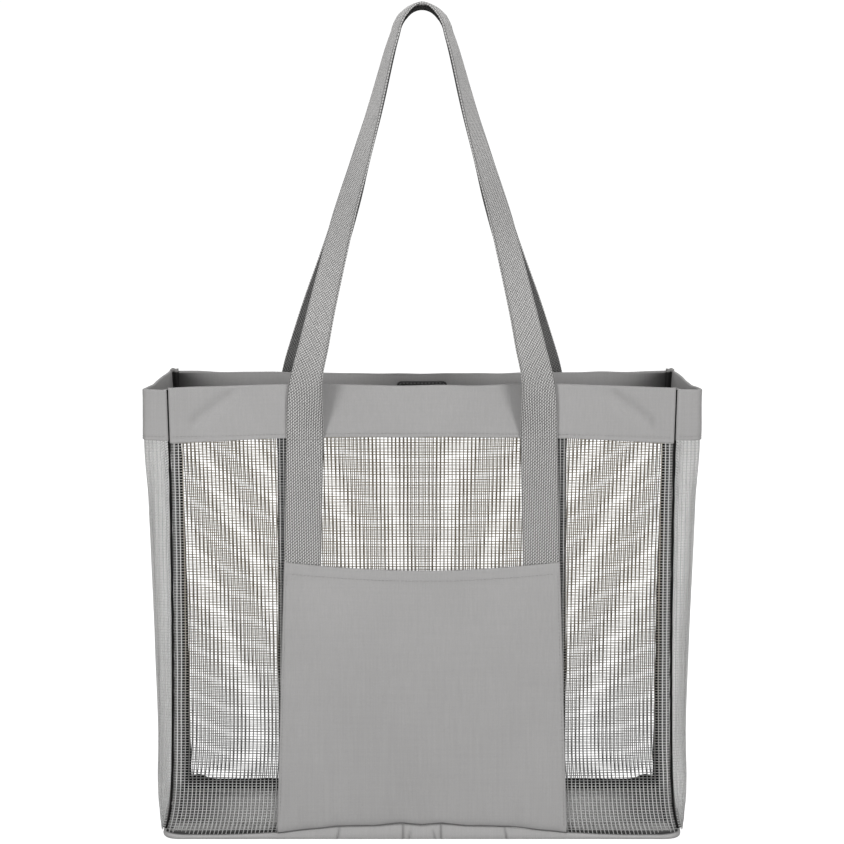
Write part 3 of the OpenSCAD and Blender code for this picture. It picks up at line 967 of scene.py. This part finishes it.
# ---- webbing
def curve(points, u):
    """Catmull-Rom curve through points, at every u from 0 to the number of spans."""
    p = np.asarray(points, float)
    p = np.concatenate([[2 * p[0] - p[1]], p, [2 * p[-1] - p[-2]]])
    i = np.clip(np.floor(u).astype(int), 0, len(p) - 4)
    t = (u - i)[:, None]
    before, a, b, after = p[i], p[i + 1], p[i + 2], p[i + 3]
    return 0.5 * (
        2 * a + (b - before) * t + (2 * before - 5 * a + 4 * b - after) * t**2
        + (3 * a - before - 3 * b + after) * t**3
    )


def strap_x(side, z):
    """Distance from the middle to a front (-1) or rear (+1) strap at the height z."""
    top = FRONT_STRAP_X if side < 0 else REAR_STRAP_X
    spread = FRONT_STRAP_SPREAD if side < 0 else REAR_STRAP_SPREAD
    return top + spread * (1 - z / HINGE_Z)


def handle_rings(rise, foot_x, side, bottom):
    """Middle, outward and crosswise directions of the webbing, foot to foot over the crown."""
    at = flat_panel(side)
    foot = at(foot_x, STRAP_N, HINGE_Z)
    leg_z = np.arange(bottom, HINGE_Z - 1, 4.0)
    loop = np.array([[-x, o, z, a] for x, o, z, a in rise] + [list(p) for p in rise[-2::-1]], float)
    q = curve(loop, np.linspace(0, len(loop) - 1, 301))
    loop_mid = np.stack([q[:, 0], foot[1] + side * q[:, 1], HINGE_Z + q[:, 2]], -1)
    flow = unit(np.gradient(loop_mid, axis=0))
    face = np.array([0.0, side, 0.0])
    n0 = unit(face - (flow @ face)[:, None] * flow)
    n1 = np.cross(n0, flow) * -side
    turn = np.radians(q[:, 3])[:, None]
    loop_out = np.cos(turn) * n0 + np.sin(turn) * n1
    loop_wide = np.cross(flow, loop_out)

    def leg(sign):
        x = sign * strap_x(side, leg_z)
        mid = at(x, STRAP_N, leg_z)
        out = unit(at(x, STRAP_N + 1, leg_z) - mid)
        run = unit(np.gradient(mid, axis=0))
        return mid, out, np.cross(run, out)

    left, right = leg(-1), leg(1)
    mid = np.concatenate([left[0], loop_mid, right[0][::-1]])
    out = np.concatenate([left[1], loop_out, right[1][::-1]])
    wide = np.concatenate([left[2], loop_wide, -right[2][::-1]])
    return smooth_rows(mid), unit(smooth_rows(out)), unit(smooth_rows(wide))


def smooth_rows(rows):
    """Evens out a polyline a little, with its ends held."""
    for _ in range(3):
        inner = 0.25 * rows[:-2] + 0.5 * rows[1:-1] + 0.25 * rows[2:]
        rows = np.concatenate([rows[:1], inner, rows[-1:]])
    return rows


def webbing_section():
    """Section of the webbing, across and through it: flat with rounded edges."""
    w, t = WEBBING_W / 2, WEBBING_T / 2
    flat = np.linspace(-(w - t), w - t, 17)
    turn = np.linspace(-pi / 2, pi / 2, 7)[1:-1]
    right = [(w - t + t * cos(a), t * sin(a)) for a in turn]
    left = [(-x, -y) for x, y in right]
    return np.array([(x, -t) for x in flat] + right + [(x, t) for x in flat[::-1]] + left)


def make_handle(word, rise, foot_x, side, bottom):
    """One piece of webbing: sewn-down leg, free loop that bends at the band, and the other leg."""
    mid, out, wide = handle_rings(rise, foot_x, side, bottom)
    section = webbing_section()
    along = distance_along(mid)
    c, t = section[:, 0][None, :, None], section[:, 1][None, :, None]
    points = mid[:, None] + wide[:, None] * c + out[:, None] * t
    uv = np.stack(np.broadcast_arrays(section[:, 0][None] * MM, along[:, None] * MM), -1)
    edge = np.abs(section[:, 0]) > WEBBING_W / 2 - WEBBING_T / 2 - 0.01
    # Painted shade on the inner face, darkest on the sewn legs and at the crown, painted shade on the
    # edges, and painted light on the outer face, more of it higher up the loop.
    rise_above = mid[:, 2:] - HINGE_Z
    inner = np.where(rise_above > 0, 0.7 + 0.3 * smooth_step((rise_above - 325) / 15), 1.0)
    lit = 0.6 * smooth_step(rise_above / 110) + 0.4 * smooth_step((rise_above - 190) / 70)
    outer = np.where(edge, 0.12, -lit)
    shade = np.where(section[:, 1] < -WEBBING_T / 4, inner, outer)
    faces = sweep_faces(len(mid), len(section))
    nodes = [f"{word}_handle", f"{word}_left_strap", f"{word}_right_strap"]
    obj = build(f"{word}_handle_webbing", nodes, points, faces, "webbing", uv, shade, body=None)
    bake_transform(obj)


# ---- seam bindings
def front_binding(word, sign):
    """Folded tape over a front seam, and the fold of the seam itself behind the gap, darkened with painted
    shade.
    """
    at = flat_panel(-1)
    rows = 170
    z = np.linspace(9, BODY_H - 1, rows)[:, None]
    reach = 5.8 + 3.9 * smooth_step((330 - z) / 280)
    share = np.array([0.0, 0.0, 0.15, 0.6, 1.0, 1.05, 1.0, 0.5])
    depth = np.array([-0.3, -1.2, -1.5, -1.6, -1.4, -0.9, -0.3, -0.1])
    d = 1.4 + reach * share + 0.3 * ripple(z, 0 * z, 40, 61 + sign)
    n = -BAND_T / 2 - 0.2 + depth + 0.25 * ripple(z, 0 * z, 30, 62 + sign)
    tape = at(sign * (front_half(z) - d), n, z)
    length = gusset_length(z)
    foot = 9 * np.exp(-z / 13)
    fold = []
    for n in (-0.7, -1.6):
        strip = [at(sign * (front_half(z) - d), n, z) for d in (1.2, 0.6, 0.1)]
        strip += [gusset(d / length, n, z, sign, tuck=False) for d in (0.1, 0.6, 1.2 + foot)]
        fold += strip if n > -1 else strip[::-1]
    fold = np.concatenate(fold, 1)
    parts = [(tape, sweep_faces(rows, 8)), (fold, sweep_faces(rows, 12))]
    verts, faces = join_parts(parts)
    # Painted shade on the fold, less where its foot spreads onto the gusset near the floor, and painted
    # shade on the tape's front face, darker toward its inner edge.
    fold_shade = np.ones((rows, 12))
    fold_shade[:, 5:7] = 1 - smooth_step(foot)
    tape_shade = np.tile([0.35, 0, 0, 0, 0.5, 0.95, 0.95, 0.6], (rows, 1))
    shade = np.concatenate([tape_shade.ravel(), fold_shade.ravel()])
    name = f"front_{word}_binding"
    build(name + "_tape", [name], verts, faces, "binding_tape", shade=shade)


def rear_binding(word, sign):
    """Tape over a rear seam: two ridges with a groove between them, dark with painted shade but for its end
    at the rim.
    """
    rows = 190
    end = np.linspace(BODY_H - 2.4, BODY_H + 0.8, 6)
    z = np.concatenate([np.linspace(9, BODY_H - 3, rows - 6), end])[:, None]
    inner_edge = 209.1 + 7 * z / BODY_H - 1.6 * bump(z - 210, 110)
    outer_edge = rear_half(z) + 0.3
    share = np.array([0.0, 0.03, 0.3, 0.42, 0.5, 0.6, 0.97, 1.0, 0.6, 0.3])
    depth = np.array([-0.4, -1.7, -2.0, -0.8, -0.8, -2.1, -1.9, -0.4, -0.1, -0.1])
    x = mix(outer_edge, inner_edge, share) + 0.25 * ripple(z, 0 * z, 36, 64 + sign)
    n = -BAND_T / 2 - 0.2 + depth + 0.2 * ripple(z, 0 * z, 30, 65 + sign)
    tape = flat_panel(1)(sign * x, n, z)
    tape[..., 2] += 0.8 * ripple(share * 9, 0 * share, 5, 66) * smooth_step((z - BODY_H + 3) / 3)
    # Painted shade below the band, a little less in it, and none at the end at the rim
    shade = np.where(z > BODY_H - 2, 0.0, np.where(z > BAND_Z0, 0.9, 1.0)) + 0 * x
    name = f"rear_{word}_binding"
    build(name + "_tape", [name], tape, sweep_faces(rows, len(share)), "binding_tape", shade=shade)


# ---- stitches
def stitch_row(points, out):
    """Single stitches along a polyline of points, standing on a surface with normals out."""
    length, thick = 2.3, 0.28
    along = distance_along(points)
    at = np.arange(STITCH_PITCH / 2, along[-1], STITCH_PITCH)
    q = np.linspace(-0.5, 0.5, 5)
    t = at[:, None] + q[None] * length
    spine = np.stack([np.interp(t, along, points[:, k]) for k in range(3)], -1)
    normal = unit(np.stack([np.interp(t, along, out[:, k]) for k in range(3)], -1))
    flow = unit(np.gradient(spine, axis=1))
    arch = (0.25 - q**2)[None, :, None] * 1.2
    size = np.sqrt(np.maximum(0.26 - q**2, 0.01))[None] / 0.51
    spine = spine + normal * arch
    return tubes(spine, np.cross(flow, normal), normal, thick * size, thick * size, 6)


def stitched(node, rows):
    """Thread for a CAD node of stitches: rows holds the points and normals of each row."""
    verts, faces = join_parts([stitch_row(points, out) for points, out in rows])
    build(node + "_thread", [node], verts, faces, "thread")


def surface_line(at, s, n, z):
    s, z = same_shape(s, z)
    return at(s, n, z), unit(at(s, n + 0.5, z) - at(s, n - 0.5, z))


def rows_beside_straps(at, edge, strap, n):
    """The three lengths of the band's outer row that two straps leave free."""
    clear = WEBBING_W / 2 + 0.5
    ends = (-edge, -strap - clear, -strap + clear, strap - clear, strap + clear, edge)
    return [surface_line(at, np.linspace(ends[k], ends[k + 1], 80), n, STITCH_Z) for k in (0, 2, 4)]


def make_stitches():
    n = BAND_T / 2 - 0.22
    edge = rear_half(STITCH_Z) - 1
    rows = rows_beside_straps(front, front_half(STITCH_Z) - 2, FRONT_STRAP_X, n)
    rows += rows_beside_straps(rear, edge, REAR_STRAP_X, n)
    rows.append(surface_line(rear, np.linspace(-edge, edge, 160), -n, STITCH_Z))
    rows.append(surface_line(front, np.linspace(-212, 212, 160), -n, STITCH_Z))
    for side in (-1, 1):
        for face in (n, -n):
            rows.append(surface_line(gusset_share(side), np.linspace(0.02, 0.98, 90), face, STITCH_Z))
    stitched("band_stitching", rows)
    n = POCKET_N + POCKET_T + 0.2
    z = np.linspace(POCKET_Z0 + 2, POCKET_Z1 - 3, 120)
    u = 1 - POCKET_STITCH_IN / pocket_half(z)
    rows = [surface_line(pocket, side * u, n, z) for side in (-1, 1)]
    rows.append(surface_line(pocket, np.linspace(-0.97, 0.97, 160), n, POCKET_STITCH_Z))
    stitched("pocket_stitching", rows)
    rows = []
    n = STRAP_N + WEBBING_T / 2 - 0.1
    for side in (-1, 1):
        for sign in (-1, 1):
            for z in (HINGE_Z - 1.5, HINGE_Z - 5):
                x = sign * strap_x(side, z) + np.linspace(-14, 14, 12)
                rows.append(surface_line(flat_panel(side), x, n, z))
    stitched("strap_stitching", rows)


# ---- closure patches
def patch_outline(half, z0, z1):
    """A rectangle with round corners, and its middle, in x and z."""
    r, mid = 4.0, np.array([0, (z0 + z1) / 2])
    turn = (np.linspace(-1, 0, 7) + np.arange(4)[:, None]) * pi / 2
    centres = mid + CORNERS * (half - r, (z1 - z0) / 2 - r)
    rim = centres[:, None] + r * np.stack([np.cos(turn), np.sin(turn)], -1)
    return rim.reshape(-1, 2), mid


def patch_pile(at, half, z0, z1, base_n, seed, hooked):
    """Small hooks or loops all over a patch."""
    draw = np.random.default_rng(seed)
    gx, gz = np.meshgrid(np.arange(-half + 3, half - 2.5, 0.95), np.arange(z0 + 3, z1 - 2.5, 0.95))
    gx = gx.ravel() + draw.uniform(-0.2, 0.2, gx.size)
    gz = gz.ravel() + draw.uniform(-0.2, 0.2, gz.size)
    lean = draw.uniform(0, tau, gx.size)[:, None]
    t = np.linspace(0, 1, 4)[None]
    reach = 0.35 * np.sin(t * (2.4 if hooked else 3.6))
    rise = (0.55 if hooked else 0.4) * np.sin(t * (1.9 if hooked else 2.8))
    spine = at(gx[:, None] + np.cos(lean) * reach, base_n - rise, gz[:, None] + np.sin(lean) * reach)
    flow = unit(np.gradient(spine, axis=1))
    level = unit(np.cross(flow, np.array([0.3, 0.2, 0.9])))
    return tubes(spine, level, np.cross(flow, level), 0.09, 0.09, 4)


def make_patch(name, side, slot, hooked):
    """A patch on the inner face of the band. Gives back the path of its stitches, with normals."""
    low, high = span(name)
    z0, z1 = low[2], high[2]
    half = (high[0] - low[0]) / 2
    at = flat_panel(side)
    rim, mid = patch_outline(half, z0, z1)
    back = -BAND_T / 2 - 0.25
    section = ((0.02, 0), (1.0, 0), (1.0, 0.9), (0.975, 1.1), (0.6, 1.1), (0.02, 1.1))
    rings = []
    for share, thick in section:
        q = mid + (rim - mid) * share
        rings.append(at(q[:, 0], back - thick, q[:, 1]))
    patch = (np.array(rings), sweep_faces(len(rings), len(rim)))
    pile = patch_pile(at, half, z0, z1, back - 1.05, 71 + side, hooked)
    verts, faces = join_parts([patch, pile])
    build(name + "_tape", [name], verts, faces, slot)
    inner = mid + (rim - mid) * np.array([0.93, 0.87])
    inner = np.concatenate([inner, inner[:1]])
    points = at(inner[:, 0], back - 1.15, inner[:, 1])
    return points, unit(points - at(inner[:, 0], back, inner[:, 1]))


def make_patches():
    hook_row = make_patch("hook_patch", 1, "hook_tape", True)
    loop_row = make_patch("loop_patch", -1, "loop_tape", False)
    stitched("patch_stitching", [hook_row, loop_row])


# ---- stage, light and camera
def make_floor():
    """A floor that the camera sees as white, and that throws back little light."""
    floor = bpy.data.meshes.new("floor")
    r = 6.0
    floor.from_pydata([(-r, -r, 0), (r, -r, 0), (r, r, 0), (-r, r, 0)], [], [(0, 1, 2, 3)])
    obj = add_object("floor", floor)
    obj.location.z = -0.0002
    nodes = Nodes("pale floor")
    nodes.put(nodes.shader.inputs["Base Color"], (0.3, 0.3, 0.3, 1))
    nodes.put(nodes.shader.inputs["Emission Color"], (1, 1, 1, 1))
    seen = nodes.tree.nodes.new("ShaderNodeLightPath").outputs["Is Camera Ray"]
    nodes.put(nodes.shader.inputs["Emission Strength"], nodes.ramp(seen, 0, 1, 0.0, 1.0))
    floor.materials.append(nodes.finish(0.9, 0.0, 0.0))


def make_world():
    """Even light all round, weaker than the white that the camera sees."""
    world = bpy.data.worlds.new("studio")
    bpy.context.scene.world = world
    world.use_nodes = True
    tree = world.node_tree
    tree.nodes.clear()
    path = tree.nodes.new("ShaderNodeLightPath")
    blend = tree.nodes.new("ShaderNodeMixShader")
    out = tree.nodes.new("ShaderNodeOutputWorld")
    for socket, strength in ((1, 0.32), (2, 1.05)):
        light = tree.nodes.new("ShaderNodeBackground")
        light.inputs["Color"].default_value = (1, 1, 1, 1)
        light.inputs["Strength"].default_value = strength
        tree.links.new(light.outputs[0], blend.inputs[socket])
    tree.links.new(path.outputs["Is Camera Ray"], blend.inputs[0])
    tree.links.new(blend.outputs[0], out.inputs[0])


def area_light(name, place, aim, size, power):
    data = bpy.data.lights.new(name, "AREA")
    data.shape = "RECTANGLE"
    data.size, data.size_y = size
    data.energy = power
    obj = add_object(name, data)
    obj.location = place
    direction = np.array(aim) - np.array(place)
    yaw = atan2(direction[1], direction[0]) - pi / 2
    pitch = atan2(direction[2], hypot(direction[0], direction[1])) + pi / 2
    obj.rotation_euler = (pitch, 0, yaw)


def make_lights():
    area_light("front_left_softbox", (-1.9, -2.4, 0.5), (0, 0, 0.35), (0.9, 0.9), 40)
    area_light("front_right_softbox", (1.9, -2.4, 0.5), (0, 0, 0.35), (0.9, 0.9), 40)
    area_light("top_softbox", (0, -0.5, 2.6), (0, 0, 0.2), (1.6, 1.6), 10)
    area_light("rear_softbox", (0, 2.4, 1.9), (0, 0, 0.25), (1.4, 1.0), 28)


def make_camera():
    data = bpy.data.cameras.new("camera")
    data.sensor_width = 36
    data.lens = 125.27
    obj = add_object("camera", data)
    obj.location = (0, CENTRE_Y * MM - 2.527, 0.7063)
    obj.rotation_euler = (radians(90 - 7.98), 0, 0)
    bpy.context.scene.camera = obj
    bpy.context.scene.view_settings.view_transform = "Standard"


# ---- the scene
make_camera()
make_floor()
make_world()
make_lights()
make_mesh_panels()
make_bands()
make_base()
make_base_binding()
make_pocket()
make_handle("front", FRONT_RISE, FRONT_STRAP_X, -1, 12.0)
make_handle("rear", REAR_RISE, REAR_STRAP_X, 1, SEAM_Z)
for word, sign in reversed(SIDES):
    front_binding(word, sign)
    rear_binding(word, sign)
make_stitches()
make_patches()
